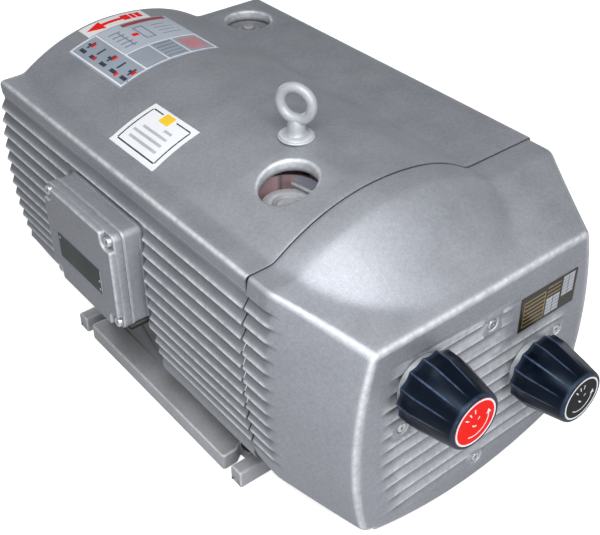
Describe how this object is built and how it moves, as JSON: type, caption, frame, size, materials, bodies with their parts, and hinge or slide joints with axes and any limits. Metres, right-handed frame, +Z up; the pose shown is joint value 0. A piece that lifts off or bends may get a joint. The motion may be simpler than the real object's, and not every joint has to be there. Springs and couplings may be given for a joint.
{
  "type": "rotary vane vacuum pump",
  "caption": "Dry-running rotary vane vacuum pump under a ribbed hood, driven by its own motor, with two regulating knobs, a terminal box and a lifting eye",
  "frame": {"origin": "middle of the outer box in plan, on the floor the base stands on", "axes": "+X to the right of someone facing the control panel, +Y from the control panel to the rear air inlet along the shaft, +Z up"},
  "size_m": [0.4578, 0.7236, 0.4345],
  "materials": {
    "cast_paint": "warm silver-grey hammer-textured paint on castings, lighter on worn edges",
    "base_paint": "flat grey-brown paint on the base bars and inner castings",
    "dark_casting": "brownish cast iron, machined faces brighter",
    "screw_steel": "zinc-plated steel, satin",
    "machined_steel": "turned steel",
    "rotor_steel": "ground dark steel",
    "rubber": "black moulded rubber",
    "knob_plastic": "blue-black moulded plastic, semi-gloss",
    "red_disc": "red printed disc with a white ring",
    "black_disc": "black printed disc with a white ring",
    "carbon": "dry-running carbon composite",
    "pale_plastic": "off-white moulded plastic",
    "filter_paper": "pleated filter paper"
  },
  "bodies": {
    "machine": {"rear_hood": "cast_paint", "front_cover": "cast_paint", "rear_grille": "cast_paint", "terminal_box_base": "cast_paint", "terminal_box_lid": "cast_paint", "lifting_eye_bolt": "cast_paint", "front_cross_beam": "base_paint", "rear_cross_beam": "base_paint", "left_foot_rail": "base_paint", "right_foot_rail": "base_paint", "motor_frame": "base_paint", "discharge_silencer": "base_paint", "pump_cylinder": "dark_casting", "front_side_plate": "dark_casting", "rear_side_plate": "dark_casting", "red_valve_body": "dark_casting", "black_valve_body": "dark_casting", "front_screw_1": "screw_steel", "front_screw_2": "screw_steel", "front_screw_3": "screw_steel", "front_screw_4": "screw_steel", "lid_screw_1": "screw_steel", "lid_screw_2": "screw_steel", "lid_screw_3": "screw_steel", "lid_screw_4": "screw_steel", "suction_port_plug": "screw_steel", "discharge_port_plug": "screw_steel", "front_bearing": "machined_steel", "rear_bearing": "machined_steel", "red_valve_spring": "machined_steel", "black_valve_spring": "machined_steel", "motor_stator": "rotor_steel", "rubber_buffer_1": "rubber", "rubber_buffer_2": "rubber", "rubber_buffer_3": "rubber", "rubber_buffer_4": "rubber", "cable_gland": "knob_plastic", "terminal_block": "pale_plastic", "filter_cartridge": "filter_paper"},
    "shaft_line": {"pump_rotor": "rotor_steel", "vane_1": "carbon", "vane_2": "carbon", "vane_3": "carbon", "vane_4": "carbon", "vane_5": "carbon", "vane_6": "carbon", "vane_7": "carbon", "pump_coupling_hub": "machined_steel", "coupling_spider": "rubber", "coupling_fan": "pale_plastic", "motor_rotor": "machined_steel", "motor_fan": "pale_plastic"},
    "red_knob_body": {"red_knob": "knob_plastic", "red_knob_disc": "red_disc"},
    "black_knob_body": {"black_knob": "knob_plastic", "black_knob_disc": "black_disc"},
    "red_seat_body": {"red_spring_seat": "machined_steel"},
    "black_seat_body": {"black_spring_seat": "machined_steel"},
    "red_disc_body": {"red_valve_disc": "carbon"},
    "black_disc_body": {"black_valve_disc": "carbon"}
  },
  "joints": [
    {"name": "shaft_spin", "type": "hinge", "parent": "machine", "child": "shaft_line", "pos_m": [-0.02194, -0.06115, 0.178], "axis": [0, 1, 0], "continuous": true},
    {"name": "red_knob_turn", "type": "hinge", "parent": "machine", "child": "red_knob_body", "pos_m": [-0.07694, -0.32615, 0.228], "axis": [0, 1, 0], "range_deg": [0, 540]},
    {"name": "red_seat_travel", "type": "slide", "parent": "machine", "child": "red_seat_body", "axis": [0, 1, 0], "range_m": [0, 0.0046], "deforming": ["red_valve_spring"]},
    {"name": "red_relief_lift", "type": "slide", "parent": "machine", "child": "red_disc_body", "axis": [0, -1, 0], "range_m": [0, 0.005], "stiffness_N_per_m": 600, "springref_m": -0.004},
    {"name": "black_knob_turn", "type": "hinge", "parent": "machine", "child": "black_knob_body", "pos_m": [0.09506, -0.32615, 0.152], "axis": [0, 1, 0], "range_deg": [0, 540]},
    {"name": "black_seat_travel", "type": "slide", "parent": "machine", "child": "black_seat_body", "axis": [0, 1, 0], "range_m": [0, 0.0046], "deforming": ["black_valve_spring"]},
    {"name": "black_relief_lift", "type": "slide", "parent": "machine", "child": "black_disc_body", "axis": [0, -1, 0], "range_m": [0, 0.005], "stiffness_N_per_m": 600, "springref_m": -0.004}
  ],
  "couplings": [
    {"joint": "red_seat_travel", "follows": "red_knob_turn", "m_per_rad": 0.00047746},
    {"joint": "black_seat_travel", "follows": "black_knob_turn", "m_per_rad": 0.00047746}
  ]
}
